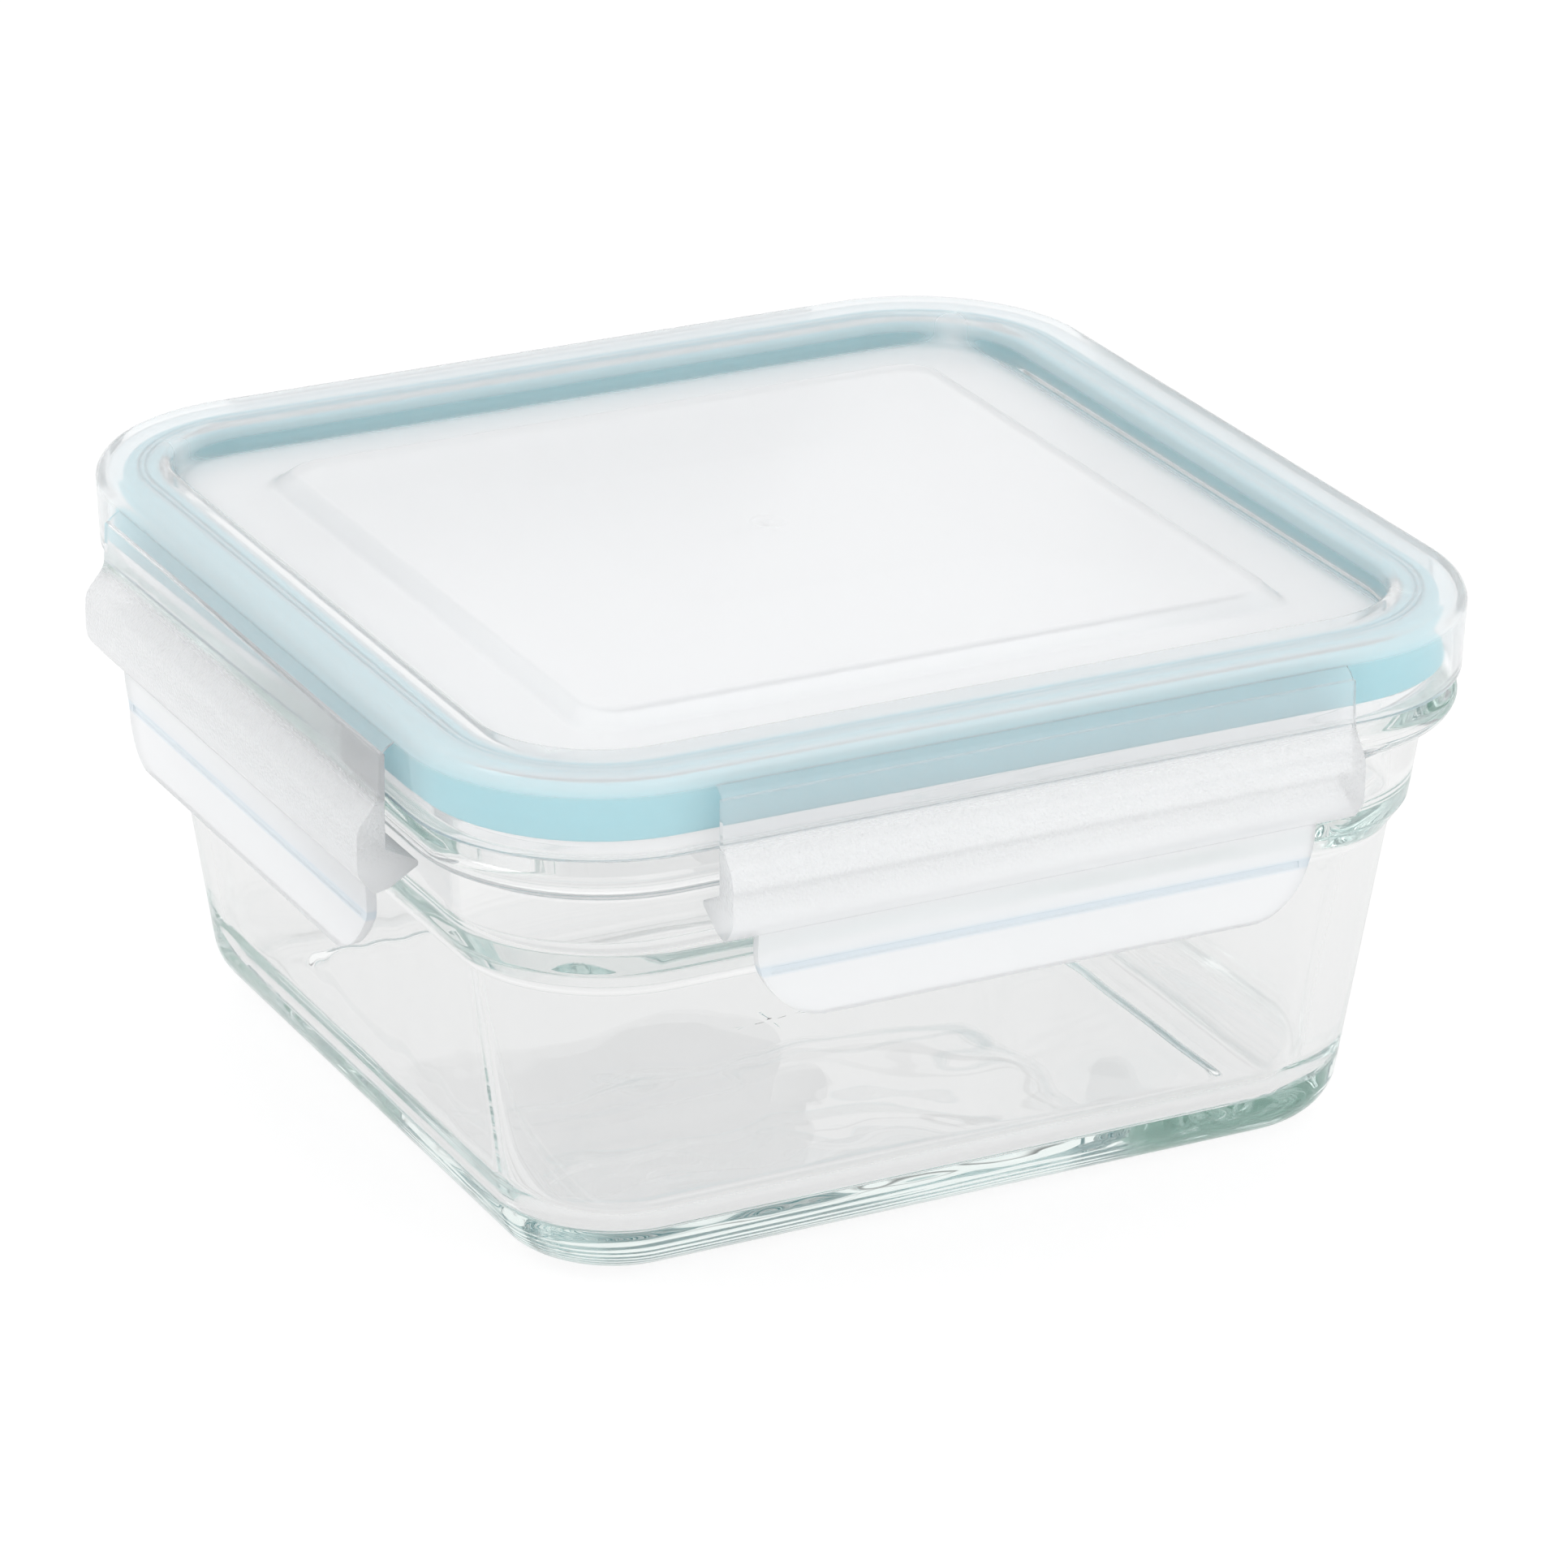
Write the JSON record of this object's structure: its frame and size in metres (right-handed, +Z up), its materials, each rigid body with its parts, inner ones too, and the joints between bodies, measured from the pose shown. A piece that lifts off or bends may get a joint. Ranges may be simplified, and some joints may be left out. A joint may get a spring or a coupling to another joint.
{
  "type": "glass storage container",
  "caption": "Square glass food storage bowl with a sunken clear-frosted lid, a silicone seal and a hinged snap latch on each side.",
  "frame": {"origin": "centre of the base, on the surface that the bowl stands on", "axes": "+Z up through the bowl's mouth and the lid; X and Y square to the sides; the front latch is towards -Y"},
  "size_m": [0.1618, 0.1618, 0.0773],
  "materials": {
    "glass": "clear, polished",
    "lid_plastic": "clear-frosted polypropylene",
    "wing_plastic": "clear-frosted polypropylene, fine grain outside",
    "film_plastic": "clear-frosted polypropylene",
    "silicone": "satin silicone"
  },
  "bodies": {
    "bowl": {"glass_bowl": "glass"},
    "lid": {"lid_panel": "lid_plastic", "lid_gasket": "silicone", "hinge_film_front": "film_plastic", "hinge_film_right": "film_plastic", "hinge_film_back": "film_plastic", "hinge_film_left": "film_plastic"},
    "wing_front": {"latch_front": "wing_plastic"},
    "wing_right": {"latch_right": "wing_plastic"},
    "wing_back": {"latch_back": "wing_plastic"},
    "wing_left": {"latch_left": "wing_plastic"}
  },
  "joints": [
    {"name": "lid_lift", "type": "slide", "parent": "bowl", "child": "lid", "axis": [0, 0, 1], "range_m": [0, 0.1]},
    {"name": "latch_front_hinge", "type": "hinge", "parent": "lid", "child": "wing_front", "pos_m": [0, -0.0765, 0.0739], "axis": [-1, 0, 0], "range_deg": [0, 140]},
    {"name": "latch_right_hinge", "type": "hinge", "parent": "lid", "child": "wing_right", "pos_m": [0.0765, 0, 0.0739], "axis": [0, -1, 0], "range_deg": [0, 140]},
    {"name": "latch_back_hinge", "type": "hinge", "parent": "lid", "child": "wing_back", "pos_m": [0, 0.0765, 0.0739], "axis": [1, 0, 0], "range_deg": [0, 140]},
    {"name": "latch_left_hinge", "type": "hinge", "parent": "lid", "child": "wing_left", "pos_m": [-0.0765, 0, 0.0739], "axis": [0, 1, 0], "range_deg": [0, 140]}
  ]
}
